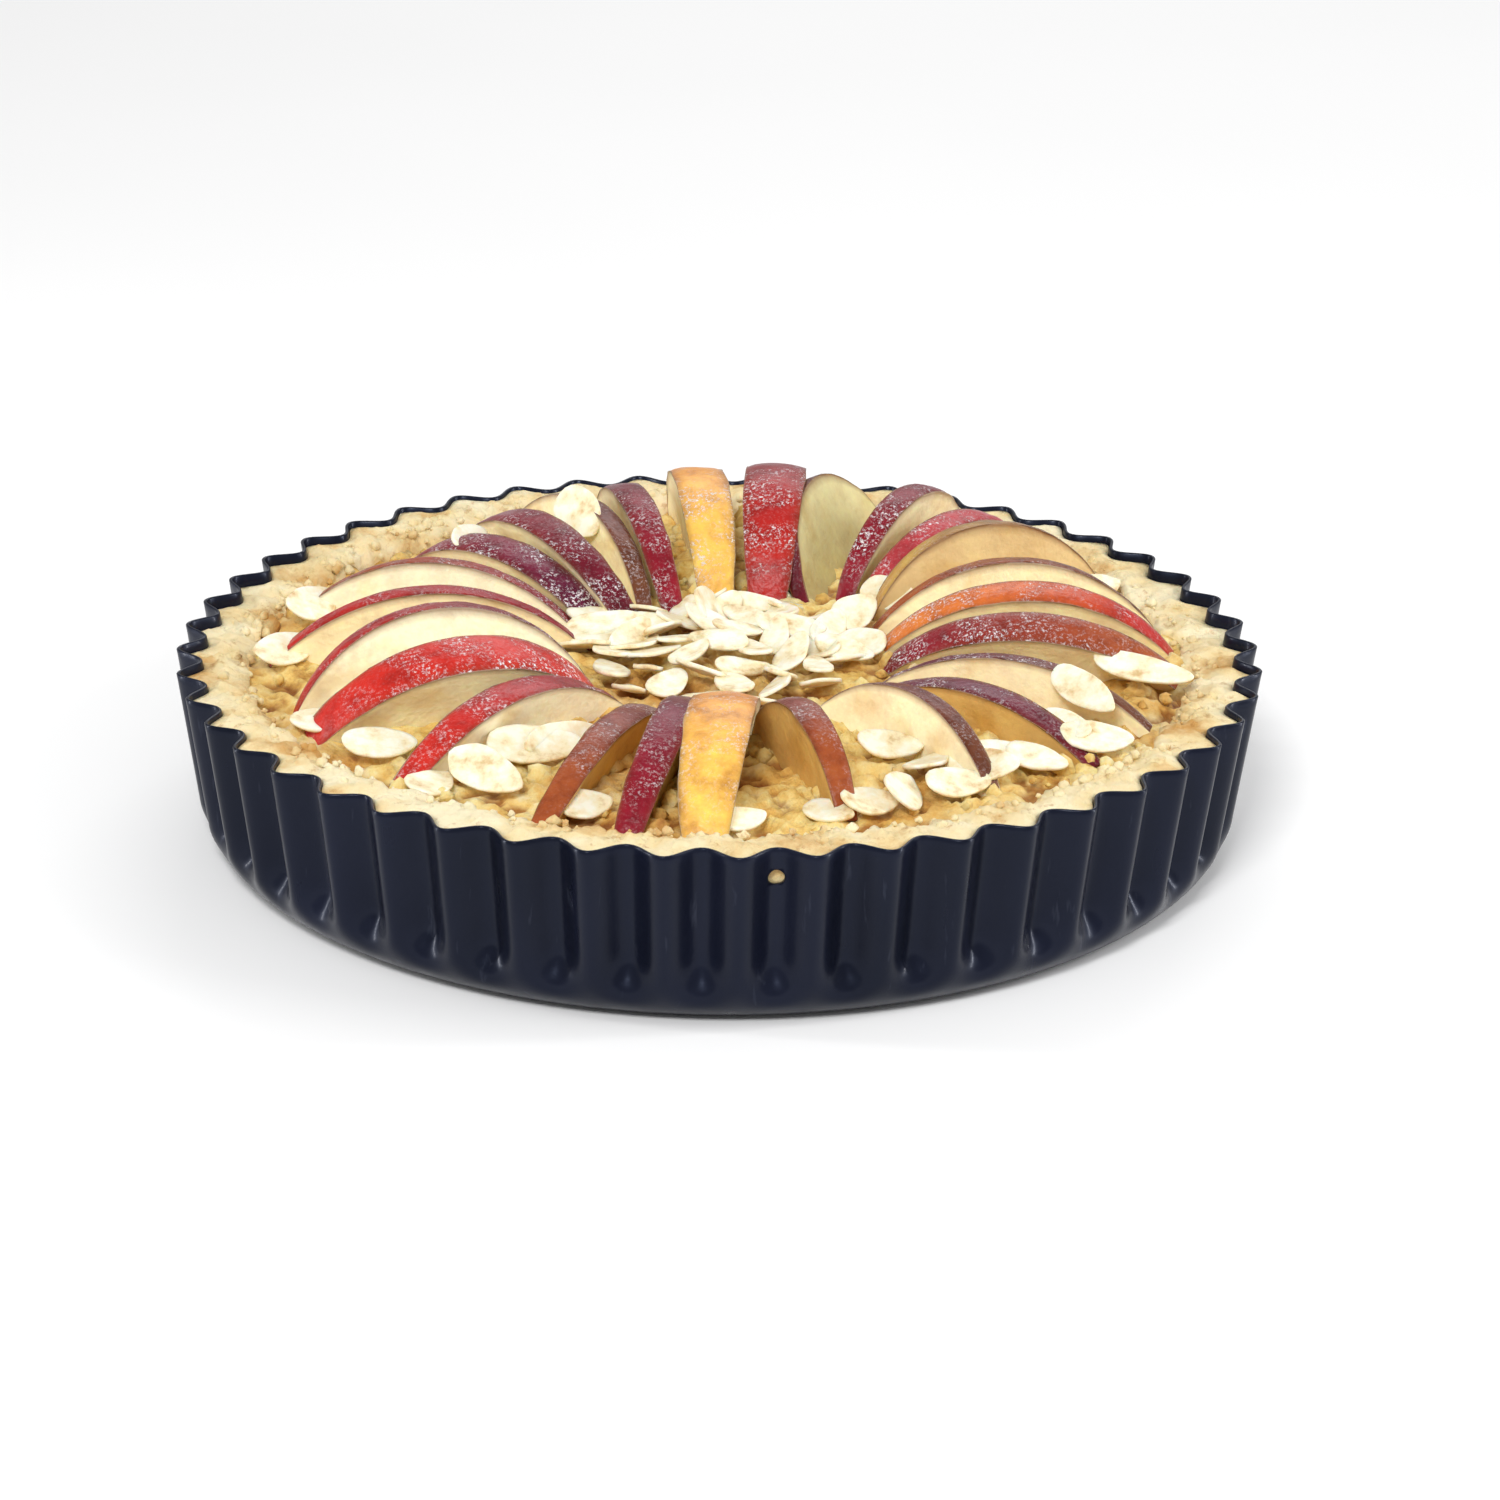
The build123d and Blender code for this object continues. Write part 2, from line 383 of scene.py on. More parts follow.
cut = ring.modifiers.new("hole", "BOOLEAN")
cut.operation = "DIFFERENCE"
cut.object = punch
cut.solver = "EXACT"
applied(ring)
bpy.data.objects.remove(punch)
ring.data.materials.clear()
ring.data.materials.append(steel.material)
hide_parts("fluted_ring")
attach(ring, "ring")
print("ring faces:", len(ring.data.polygons))

# %% [markdown]
# ## The loose base
# A flat disc cut from the same coated sheet, with its edge eased so that it does not
# scratch the ring. Pressing leaves two very shallow stiffening grooves in its underside.
# It is turned as a section round the centre, as the die that presses it is turned.

# %% Turn the base
BASE_RADIUS = FLOOR_RADIUS - 1.0 * MM
BASE_AROUND = 192
MIDDLE = 0.5 * MM
GROOVES = (32 * MM, 82 * MM)
GROOVE_DEPTH = 0.12 * MM
EASE_IN = 0.3 * MM
EASE_UP = 0.25 * MM
base_section = [(MIDDLE, BASE_LOW)]
for groove in GROOVES:
    base_section += [(groove - 2 * MM, BASE_LOW), (groove - MM, BASE_LOW + GROOVE_DEPTH),
                     (groove + MM, BASE_LOW + GROOVE_DEPTH), (groove + 2 * MM, BASE_LOW)]
base_section += [(BASE_RADIUS - EASE_IN, BASE_LOW), (BASE_RADIUS, BASE_LOW + EASE_UP),
                 (BASE_RADIUS, BASE_TOP - EASE_UP), (BASE_RADIUS - EASE_IN, BASE_TOP), (MIDDLE, BASE_TOP)]
base_points = []
for radius, z in base_section:
    for number in range(BASE_AROUND):
        base_points.append(polar(radius, 360 * number / BASE_AROUND, z))
base = add_mesh("pan_loose_base", base_points, tube_faces(len(base_section), BASE_AROUND))
base.data.materials.append(steel.material)
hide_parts("loose_base")
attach(base, "base")
print("base radius:", round(BASE_RADIUS, 4))

# %% [markdown]
# ## Shortcrust
# Pale baked pastry is dry and crumbly: cream where it is thick, golden where the oven
# catches an edge, and pitted all over. Large noise moves the bake from cream to gold,
# fine noise and cells give the crumb, and the shader stays rough with no sheen.

# %% Pastry finish
pastry = Finish("shortcrust", 0.8, Specular_IOR_Level=0.25,
                Subsurface_Weight=0.08, Subsurface_Scale=0.004)
bake = pastry.ramp(pastry.noise(55.0, 6.0, rough=0.6), (0.32, (0.62, 0.34, 0.10)),
                   (0.46, (0.86, 0.68, 0.36)), (0.62, (0.93, 0.82, 0.55)))
toast = pastry.ramp(pastry.noise(260.0, 5.0, rough=0.7), (0.30, (0.50, 0.25, 0.07)),
                    (0.42, (1.0, 1.0, 1.0)))
pastry.colour(pastry.mix(0.55, bake, toast, "MULTIPLY"))
pastry.bump(pastry.noise(900.0, 6.0, rough=0.7), 0.0007, 0.8)
pastry.bump(pastry.cells(420.0), 0.0006, 0.5)
print("finish:", pastry.material.name)

# %% [markdown]
# ## The pastry shell
# Pastry pressed into the pan takes the shape of the flutes outside and is smoothed by
# thumb inside, and its top edge is trimmed and bakes uneven. Its section runs round the
# floor, up the fluted outside, over the crumbly top and down the inside. Low down it stays
# inside the valleys' narrowest ring, or the tart could not be lifted out. Layers of noise
# lift and sink the top and nibble at its inner edge.

# %% Fluted outside of the pastry
CRUST_TOP = RIM_Z - 0.6 * MM
CAVITY_TOP = wall_radius(RIM_Z) - FLUTE_DEPTH - SHEET - FIT - CRUST_WIDTH
CAVITY_LEAN = math.tan(math.radians(8))
SINK_ANGLE = 104
SINK_SPREAD = 27
crust_section = sheet_section(SHEET + FIT, low_angle=66.0, top=CRUST_TOP, released=True)


def wobble(place, scale, amount, seed=0.0):
    """Smooth noise of a given fineness, up to about the amount either way."""
    return noise.noise(Vector(place) * scale + Vector((seed, -seed, seed * 0.5))) * amount


def top_drop(degrees):
    """How far the pastry's edge has sunk: hardly at all in front and behind, most at the sides."""
    from_front = abs((degrees + 180) % 360 - 180)
    return (0.1 + 2.4 * math.exp(-((from_front - SINK_ANGLE) / SINK_SPREAD) ** 2)) * MM


crust_points = []
for radius, depth, z in crust_section:
    for number in range(AROUND):
        degrees = 360 * number / AROUND
        lowered = z - top_drop(degrees) * max(0.0, (z - 0.6 * CRUST_TOP) / (0.4 * CRUST_TOP))
        crust_points.append(fluted_point(radius, depth, lowered, SHEET + FIT, degrees))
print("pastry sinks by", round(top_drop(SINK_ANGLE) / MM, 2), "mm at the sides")

# %% [markdown]
# The top is lumpy, a little crowned and slopes down to a ragged inner edge. From there the
# inner wall leans in as it goes down to the floor, and its pits fade out on the way.

# %% Crumbly top and inner wall
TOP_ROWS = 9
INNER_ROWS = 10
outer_row = crust_points[-AROUND:]
for row in range(1, TOP_ROWS + 1):
    share = row / TOP_ROWS
    for number in range(AROUND):
        degrees = 360 * number / AROUND
        start = outer_row[number]
        ragged = wobble(polar(1, degrees), 9.0, 2.6 * MM)
        ragged += wobble(polar(1, degrees), 38.0, 1.5 * MM, 7.0)
        inner = CAVITY_TOP + ragged - 0.8 * MM
        radius = math.hypot(start.x, start.y) * (1 - share) + inner * share
        crown = 4 * share * (1 - share)
        spot = polar(radius, degrees, start.z)
        lumps = wobble(spot, 190.0, 1.6 * MM, 3.0) + wobble(spot, 620.0, 1.1 * MM, 5.0)
        z = start.z + 0.5 * MM * crown + lumps * min(1.0, 3 * share) - 1.4 * MM * share ** 3
        crust_points.append(Vector((spot.x, spot.y, min(z, RIM_Z + 1.2 * MM))))
inner_row = crust_points[-AROUND:]
for row in range(1, INNER_ROWS + 1):
    share = row / INNER_ROWS
    for number in range(AROUND):
        degrees = 360 * number / AROUND
        start = inner_row[number]
        z = start.z + (CAVITY_FLOOR - start.z) * share
        goal = CAVITY_TOP - (CRUST_TOP - z) * CAVITY_LEAN
        radius = math.hypot(start.x, start.y) * (1 - share) ** 2 + goal * (1 - (1 - share) ** 2)
        spot = polar(radius, degrees, z)
        pits = wobble(spot, 300.0, 0.7 * MM, 9.0) * (1 - share)
        crust_points.append(polar(radius + pits, degrees, z))
print("crust points:", len(crust_points))

# %% [markdown]
# Crumbs that broke off the edge lie along it. Each is a tiny lumpy pebble in the same mesh
# as the shell. The random numbers start from a fixed seed, so the tart is the same each time.

# %% Close the shell and add crumbs
CRUST_CRUMBS = 560
CRUMB_SIDES = 6
crust_faces = tube_faces(len(crust_section) + TOP_ROWS + INNER_ROWS, AROUND)
chance = random.Random(11)


def add_crumb(points, faces, centre, size):
    """A small lumpy pebble: three rings and two poles, each point pushed about by chance."""
    start = len(points)
    rings = ((-0.55, 0.7), (0.05, 1.0), (0.6, 0.65))
    points.append(centre + Vector((0, 0, -size)))
    for height, width in rings:
        for number in range(CRUMB_SIDES):
            reach = size * width * chance.uniform(0.55, 1.35)
            degrees = 360 / CRUMB_SIDES * number + chance.uniform(-20, 20)
            lift = size * height * chance.uniform(0.6, 1.2)
            points.append(centre + polar(reach, degrees, lift))
    top_ring = len(points) - CRUMB_SIDES
    peak = len(points)
    points.append(centre + Vector((0, 0, size * 0.95)))
    for number in range(CRUMB_SIDES):
        right = (number + 1) % CRUMB_SIDES
        faces.append((start, start + 1 + right, start + 1 + number))
        faces.append((peak, top_ring + number, top_ring + right))
    faces.extend(grid_faces(len(rings), CRUMB_SIDES, start=start + 1))


for number in range(CRUST_CRUMBS):
    degrees = chance.uniform(0, 360)
    radius = CAVITY_TOP + chance.uniform(-2.0, 7.5) * MM
    sunk = 2.0 * MM if radius < CAVITY_TOP - 0.5 * MM else 0.2 * MM
    place = polar(radius, degrees, CRUST_TOP - top_drop(degrees) - sunk)
    add_crumb(crust_points, crust_faces, place, chance.choice((0.4, 0.7, 1.0, 1.5)) * MM)
crust = add_mesh("tart_pastry_shell", crust_points, crust_faces)
crust.data.materials.append(pastry.material)
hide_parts("pastry_shell")
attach(crust, "tart")
print("pastry faces:", len(crust.data.polygons))

# %% [markdown]
# ## Almond filling
# Ground almond, egg and butter bake into a golden crumb. Two sizes of noise give the colour,
# and the height of each lump paints shade into it: darker in its hollows and paler where it
# stands up. A third noise makes it moist and glossier in places.

# %% Filling finish
filling = Finish("almond_filling", 0.5, Specular_IOR_Level=0.4,
                 Subsurface_Weight=0.15, Subsurface_Scale=0.004)
filling.shader.inputs["Subsurface Radius"].default_value = (1.0, 0.6, 0.25)
crumb = filling.ramp(filling.noise(120.0, 6.0, rough=0.65), (0.30, (0.52, 0.25, 0.05)),
                     (0.44, (0.86, 0.58, 0.17)), (0.56, (0.96, 0.78, 0.34)), (0.70, (1.0, 0.92, 0.62)))
browned = filling.ramp(filling.noise(28.0, 4.0), (0.35, (0.62, 0.36, 0.16)), (0.55, (1.0, 1.0, 1.0)))
# Painted shade: the lump height in the rise attribute darkens the hollows and lightens the tops.
painted_hollow_shade = filling.ramp(filling.attribute("rise"), (0.15, (0.40, 0.20, 0.07)),
                       (0.42, (0.92, 0.85, 0.70)), (0.72, (1.0, 1.0, 1.0)))
golden = filling.mix(0.7, crumb, browned, "MULTIPLY")
filling.colour(filling.mix(0.9, golden, painted_hollow_shade, "MULTIPLY"))
filling.rough(filling.ramp(filling.noise(200.0, 4.0), (0.3, 0.3), (0.6, 0.7)))
filling.bump(filling.noise(500.0, 6.0, rough=0.65), 0.0012, 0.9)
print("finish:", filling.material.name)

# %% [markdown]
# The top of the filling stands a little higher halfway out, where the slices push it up,
# and sinks beside the crust. It is a disc of fine rings, raised and lowered by noise, with
# a plain wall and floor below where the pastry hides it, and crumbs lie on it.

# %% Build the filling
FILL_AROUND = 420
FILL_RINGS = 84
FILL_CRUMBS = 420
CRUMB_SIZES = (0.8, 1.1, 1.5, 2.1, 2.8)
fill_points, shade_heights = [], []
for ring_number in range(FILL_RINGS):
    radius = 0.6 * MM + (CAVITY_TOP - 0.3 * MM) * ring_number / (FILL_RINGS - 1)
    for number in range(FILL_AROUND):
        spot = polar(radius, 360 * number / FILL_AROUND)
        lumps = wobble(spot, 90.0, 2.0 * MM, 2.0) + wobble(spot, 260.0, 2.6 * MM, 4.0)
        fine = wobble(spot, 800.0, 0.9 * MM, 6.0)
        rise = 1.3 * MM * math.sin(math.pi * min(1.0, radius / CAVITY_TOP)) - 0.6 * MM
        fill_points.append(spot + Vector((0, 0, FILLING_Z + rise + lumps + fine)))
        # Each point's lump height, kept to paint shade into the hollows.
        shade_heights.append(min(1.0, max(0.0, 0.5 + (lumps + 1.5 * fine) / (3.4 * MM))))
for z, inset in ((FILLING_Z - 4 * MM, 0.9 * MM), (CAVITY_FLOOR, 4.8 * MM)):
    for number in range(FILL_AROUND):
        fill_points.append(polar(CAVITY_TOP - inset, 360 * number / FILL_AROUND, z))
        shade_heights.append(0.5)
fill_faces = tube_faces(FILL_RINGS + 2, FILL_AROUND, flip=True)
for number in range(FILL_CRUMBS):
    degrees = chance.uniform(0, 360)
    radius = math.sqrt(chance.uniform(0.10, 0.93)) * CAVITY_TOP
    size = chance.choice(CRUMB_SIZES) * chance.uniform(0.8, 1.2) * MM
    add_crumb(fill_points, fill_faces, polar(radius, degrees, FILLING_Z + 0.9 * MM), size)
# Crumbs count as standing up, so the painted shade leaves them pale.
shade_heights += [0.95] * (len(fill_points) - len(shade_heights))
almond_bed = add_mesh("tart_almond_filling", fill_points, fill_faces, masks={"rise": shade_heights})
almond_bed.data.materials.append(filling.material)
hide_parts("almond_filling")
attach(almond_bed, "tart")
print("filling faces:", len(fill_faces))

# %% [markdown]
# ## Baked apple
# A baked slice has a thin glossy skin on its bow and dry, creamy cut faces that brown
# along the edge. The mesh carries the colours as a point attribute, so each slice can be
# its own apple; the material adds streaks, pores, browning and a dusting of icing sugar
# that lies where the surface faces up, and mostly on the skin.

# %% Apple finish
apple = Finish("baked_apple", 0.4, Specular_IOR_Level=0.26,
               Subsurface_Weight=0.2, Subsurface_Scale=0.005)
apple.shader.inputs["Subsurface Radius"].default_value = (1.0, 0.5, 0.25)
tint = apple.attribute("tint", "Color")
skin = apple.attribute("skin")
streaks = apple.ramp(apple.noise(160.0, 6.0, rough=0.65), (0.30, (0.50, 0.36, 0.28)),
                     (0.50, (1.0, 1.0, 1.0)), (0.72, (1.25, 1.5, 1.3)))
patches = apple.ramp(apple.noise(75.0, 4.0), (0.30, (0.80, 0.66, 0.45)), (0.46, (1.0, 1.0, 1.0)))
marked = apple.combine("ADD", apple.combine("MULTIPLY", skin, 0.5), 0.25)
body_colour = apple.mix(marked, tint, streaks, "MULTIPLY")
patched = apple.mix(0.8, body_colour, patches, "MULTIPLY")
body_colour = apple.mix(apple.combine("SUBTRACT", 0.8, skin), body_colour, patched)
lies_up = apple.ramp(apple.facing_up(), (0.35, 0.0), (0.75, 1.0))
specks = apple.ramp(apple.noise(1300.0, 4.0, rough=0.75), (0.52, 0.0), (0.62, 1.0))
clouds = apple.ramp(apple.noise(130.0, 3.0), (0.42, 0.05), (0.60, 1.0))
sugar = apple.combine("MULTIPLY", apple.combine("MULTIPLY", specks, clouds), lies_up)
sugar = apple.combine("MULTIPLY", sugar, apple.attribute("sugar"))
apple.colour(apple.mix(sugar, body_colour, (0.93, 0.88, 0.90)))
gloss = apple.ramp(skin, (0.2, 0.55), (0.8, 0.3))
apple.rough(apple.mix(sugar, gloss, (0.85, 0.85, 0.85)))
apple.bump(apple.noise(700.0, 5.0), 0.0004, 0.7)
apple.bump(sugar, 0.0004, 0.6)
print("finish:", apple.material.name)

# %% [markdown]
# ## Where each slice lies
# Someone laid these slices by hand, so no two agree. Each row gives where the slice
# leaves the filling (outer radius and angle, inner radius and angle), its height over
# the rim, the width of its skin and its lean, as in the CAD, and then the skin's colour
# at the outer end and at the inner end, its flesh and how much sugar fell on it.

# %% Slice table
SKINS = {
    "crimson": (0.24, 0.004, 0.016), "wine": (0.13, 0.004, 0.016), "purple": (0.12, 0.008, 0.036),
    "red": (0.44, 0.014, 0.010), "scarlet": (0.55, 0.020, 0.012), "orange": (0.72, 0.20, 0.030),
    "gold": (0.90, 0.52, 0.10), "rust": (0.34, 0.075, 0.018), "tan": (0.52, 0.30, 0.08),
    "brown": (0.14, 0.04, 0.015), "pink": (0.44, 0.04, 0.05),
}
# Pale is the cream flesh painted lighter for slices whose faces stand in the light; shaded ochre is painted
# shade, the cream flesh darkened for slices whose faces lie in shade.
FLESH = {
    "cream": (1.0, 0.88, 0.58), "pale": (1.0, 0.93, 0.70), "shaded_ochre": (0.72, 0.46, 0.15),
    "olive": (0.66, 0.58, 0.30), "tan": (0.72, 0.52, 0.25),
}
SLICES = [
    (108, -1.5, 38, 6, 14, 15, 0, "gold", "orange", "cream", 0.9),
    (96, 17, 45, 12, 12, 7, 0, "rust", "wine", "shaded_ochre", 0.7),
    (98, 38, 37, 38, 10, 6, -12, "brown", "wine", "cream", 0.5),
    (102, 55, 38, 59, 6, 8, 0, "wine", "purple", "shaded_ochre", 0.9),
    (105, 69, 38, 74, 7, 6, -8, "brown", "purple", "cream", 1.0),
    (107, 86, 38, 91, 11, 10, 22, "rust", "crimson", "cream", 1.0),
    (107, 96, 38, 106, 13, 9, 12, "red", "orange", "cream", 1.0),
    (107, 106, 40, 120, 13, 6, -8, "brown", "rust", "cream", 0.4),
    (107, 120, 46, 130, 16, 6, -12, "brown", "tan", "tan", 0.3),
    (108, 136, 48, 137, 14, 7, 10, "pink", "pink", "tan", 1.0),
    (108, 147, 48, 143, 17, 7, 5, "wine", "crimson", "cream", 0.9),
    (108, 158, 46, 154, 18, 6, -30, "brown", "wine", "olive", 0.4),
    (108, 172, 44, 165, 18, 15, 0, "wine", "red", "tan", 0.9),
    (108, -175, 40, -179, 17, 13, 0, "orange", "gold", "cream", 0.9),
    (106, -164, 32, -161, 15, 8, -5, "wine", "crimson", "cream", 0.6),
    (107, -151, 33, -149, 14, 6, 12, "wine", "brown", "cream", 0.5),
    (104, -143, 29, -138, 13, 9, -10, "crimson", "wine", "cream", 0.9),
    (100, -130, 36, -131, 10, 10, -10, "crimson", "purple", "cream", 1.2),
    (105, -107, 38, -122, 11, 6, 8, "rust", "crimson", "pale", 0.8),
    (104, -89, 32, -109, 12, 6, 0, "red", "crimson", "cream", 0.6),
    (101, -71, 32, -68, 17, 7, 10, "red", "wine", "pale", 0.9),
    (103, -62, 33, -54, 14, 13, -18, "scarlet", "scarlet", "pale", 1.1),
    (103, -42, 33, -44, 9, 9, -5, "scarlet", "crimson", "pale", 1.0),
    (106, -21, 34, -20, 7, 7, -10, "rust", "wine", "shaded_ochre", 0.8),
    (106, -10.5, 34, -6, 11, 9, -8, "crimson", "purple", "shaded_ochre", 1.2),
]
print("slices:", len(SLICES))

# %% [markdown]
# ## Shaping a slice
# A slice is a wedge of a round apple: cut it in your mind into sections from one tip to
# the other, each section a narrow fan with the skin across its wide end. The fan's
# points run up one cut face, over the skin and down the other face. Extra points beside
# the skin keep the edge crisp, and the faces are drawn in a little, as baking does.

# %% Slice sections
LEVEL = 14 * MM
CORE = 6 * MM
TAPER = 6 * MM
ALONG = 46
FACE_STEPS = (0.0, 0.15, 0.32, 0.5, 0.66, 0.8, 0.9, 0.955, 0.975, 0.992)
SKIN_STEPS = (-1.0, -0.93, -0.75, -0.5, -0.25, 0.0, 0.25, 0.5, 0.75, 0.93, 1.0)
BROWN = (0.16, 0.05, 0.02)


def blend_colours(one, two, share):
    """The colour a share of the way from one to two."""
    return tuple(a * (1 - share) + b * share for a, b in zip(one, two))


def bow_height(x, half, top):
    """Height at x of the round bow through both tips and the crest."""
    rise = top - LEVEL
    circle = (half * half + rise * rise) / (2 * rise)
    return top - circle + math.sqrt(max(0.0, circle * circle - x * x))


def slice_ring(x, half, top, wedge, outer_skin, inner_skin, flesh, dust, seed):
    """One section of a slice: its points with their colour, skin mask and sugar."""
    reach = bow_height(x, half, top)
    foot = half - TAPER
    deep = CORE + (LEVEL - CORE) * max(0.0, (abs(x) - foot) / TAPER)
    deep = min(deep, reach - 0.05 * MM)
    end = 1 - (abs(x) / half) ** 8
    share = 0.5 - x / half / 2
    skin_colour = blend_colours(outer_skin, inner_skin, min(1.0, max(0.0, 1.4 * share - 0.2)))
    wedge *= (top / reach) ** 0.45
    up, over, down = [], [], []
    for step in FACE_STEPS:
        radius = deep + (reach - deep) * step
        hollow = 1 - 0.16 * math.sin(math.pi * min(1.0, step * 1.02)) * end
        warp = 0.5 * MM * noise.noise(Vector((x * 160, radius * 170, seed)))
        # Painted shade: the flesh darkens towards the foot of each face, where the slice meets the filling.
        pale = blend_colours(flesh, tuple(c * 0.6 for c in flesh), max(0.0, 0.45 - step))
        rim = max(0.0, (step - 0.93) / 0.05)
        colour = blend_colours(pale, BROWN, min(1.0, rim) * 0.8)
        turn = wedge / 2 * hollow
        up.append((radius, -turn, warp, colour, 0.0))
        down.append((radius, turn, warp * 0.6, colour, 0.0))
    for step in SKIN_STEPS:
        edge_dip = 0.35 * MM * abs(step) ** 6
        bumps = 0.35 * MM * noise.noise(Vector((x * 220, step * 1.4, seed + 5)))
        colour = blend_colours(skin_colour, BROWN, 0.55 * abs(step) ** 6)
        radius = reach - edge_dip + bumps * (1 - abs(step) ** 4)
        over.append((radius, wedge / 2 * step, 0.0, colour, 1.0))
    values = []
    for radius, turn, warp, colour, mask in up + over + down[::-1]:
        point = Vector((x, math.sin(turn) * radius + warp, math.cos(turn) * radius))
        values.append((point, colour, mask, dust * (0.3 + share) * (mask * 0.85 + 0.25)))
    return values


print("points in each section:", 2 * len(FACE_STEPS) + len(SKIN_STEPS))

# %% [markdown]
# The sections follow each other along the line from the slice's inner end to its outer
# end, closer together at the tips. The finished slice leans about that line, at the
# filling's surface.

# %% Place the slices
def make_slice(number, row):
    """Build slice `number` in its own frame, lean it, and set it down along its line."""
    r_out, a_out, r_in, a_in, crest, width, lean, skin_out, skin_in, flesh, dust = row
    outer = polar(r_out * MM, a_out, FILLING_Z)
    inner = polar(r_in * MM, a_in, FILLING_Z)
    along = outer - inner
    half = along.length / 2
    top = LEVEL + RIM_Z + crest * MM - FILLING_Z
    wedge = width * MM / top
    forward = along.normalized()
    side = Vector((0, 0, 1)).cross(forward)
    place = Matrix((forward, side, (0, 0, 1))).transposed().to_4x4()
    place.translation = (outer + inner) / 2
    place = place @ Matrix.Rotation(math.radians(lean), 4, "X") @ Matrix.Translation((0, 0, -LEVEL))
    points, colours, masks, sugars = [], [], [], []
    for step in range(ALONG + 1):
        x = half * math.sin(math.pi / 2 * (2 * step / ALONG - 1)) * 0.999
        values = slice_ring(x, half, top, wedge, SKINS[skin_out], SKINS[skin_in], FLESH[flesh],
                            dust, number * 3.7)
        for point, colour, mask, sugar_amount in values:
            points.append(place @ point)
            colours.append(colour)
            masks.append(mask)
            sugars.append(sugar_amount)
    faces = tube_faces(ALONG + 1, len(FACE_STEPS) * 2 + len(SKIN_STEPS))
    name = f"apple_slice_{number:02d}"
    piece = add_mesh(f"tart_{name}", points, faces, colours, {"skin": masks, "sugar": sugars})
    piece.data.materials.append(apple.material)
    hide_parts(name)
    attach(piece, "tart")


for slice_number, slice_row in enumerate(SLICES, start=1):
    make_slice(slice_number, slice_row)
print("slices shaped:", len(SLICES))

# %% [markdown]
# ## Almond flakes
# A flake is a thin cut through a blanched almond: a rounded drop, slightly dished,
# ivory with a faint grain. Each is a small closed shell of rings. Those in the middle
# lie in a heap, others lean on the slices or lie in the gaps.

# %% Almond finish
almond = Finish("blanched_almond", 0.5, Specular_IOR_Level=0.35,
                Subsurface_Weight=0.2, Subsurface_Scale=0.003)
ivory = almond.ramp(almond.noise(190.0, 5.0, rough=0.6), (0.30, (0.62, 0.42, 0.18)),
                    (0.44, (0.88, 0.76, 0.50)), (0.60, (0.95, 0.90, 0.76)))
almond.colour(ivory)
almond.bump(almond.noise(800.0, 4.0, stretch=(1, 0.3, 1)), 0.0003, 0.5)
print("finish:", almond.material.name)

# %% Flake shape
FLAKE_AROUND = 26
FLAKE_THICKNESS = 0.9 * MM
HALF_SHARES = (0.03, 0.35, 0.65, 0.86, 0.97)
FLAKE_SHARES = [(share, 0.5) for share in HALF_SHARES] + [(1.0, 0.0)]
FLAKE_SHARES += [(share, -0.5) for share in reversed(HALF_SHARES)]


def flake_points(length, width, thick, dish):
    """Rings from the middle of the upper side, round the rim, to the middle of the lower."""
    points = []
    for share, side in FLAKE_SHARES:
        for number in range(FLAKE_AROUND):
            turn = 2 * math.pi * number / FLAKE_AROUND
            taper = 1 - 0.24 * math.cos(turn)
            outline = Vector((math.cos(turn) * 1.3, math.sin(turn) * 1.3, length * 9000))
            uneven = 1 + 0.10 * noise.noise(outline)
            x = length / 2 * math.cos(turn) * share * uneven
            y = width / 2 * math.sin(turn) * taper * share * uneven
            z = side * thick + dish * (x * x + y * y) / (length * length)
            points.append(Vector((x, y, z)))
    return points


def add_flake(points, faces, place, length, width, dish):
    """Set one flake down at its place, with a slight ripple of its own."""
    start = len(points)
    for point in flake_points(length, width, FLAKE_THICKNESS, dish):
        ripple = 0.18 * MM * noise.noise(point * 300 + Vector((start, 0, 0)))
        points.append(place @ (point + Vector((0, 0, ripple))))
    faces.extend(tube_faces(len(FLAKE_SHARES), FLAKE_AROUND, start=start, flip=True))


print("points in each flake:", len(FLAKE_SHARES) * FLAKE_AROUND)


# %% Flake groups
def flake_place(x, y, z, turn, roll, pitch):
    place = Matrix.Translation((x * MM, y * MM, FILLING_Z + z * MM))
    place @= Matrix.Rotation(math.radians(turn), 4, "Z") @ Matrix.Rotation(math.radians(pitch), 4, "Y")
    return place @ Matrix.Rotation(math.radians(roll), 4, "X")


def make_flakes(name, node, rows):
    points, faces = [], []
    for x, y, z, length, width, turn, roll, pitch in rows:
        place = flake_place(x, y, z, turn, roll, pitch)
        add_flake(points, faces, place, length * MM, width * MM, chance.uniform(1.0, 3.5) * MM)
    piece = add_mesh(name, points, faces)
    piece.data.materials.append(almond.material)
    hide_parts(node)
    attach(piece, "tart")
    print(name, "has", len(rows), "flakes")


# %% [markdown]
# Each flake, in millimetres and degrees: x and y from the centre and height over the
# filling, its length and width, how it is turned, and how far it is rolled and pitched.
# The large ones are listed one by one. The rest of the heap follows a sunflower's spiral, which
# spreads them evenly, and chance tilts them.

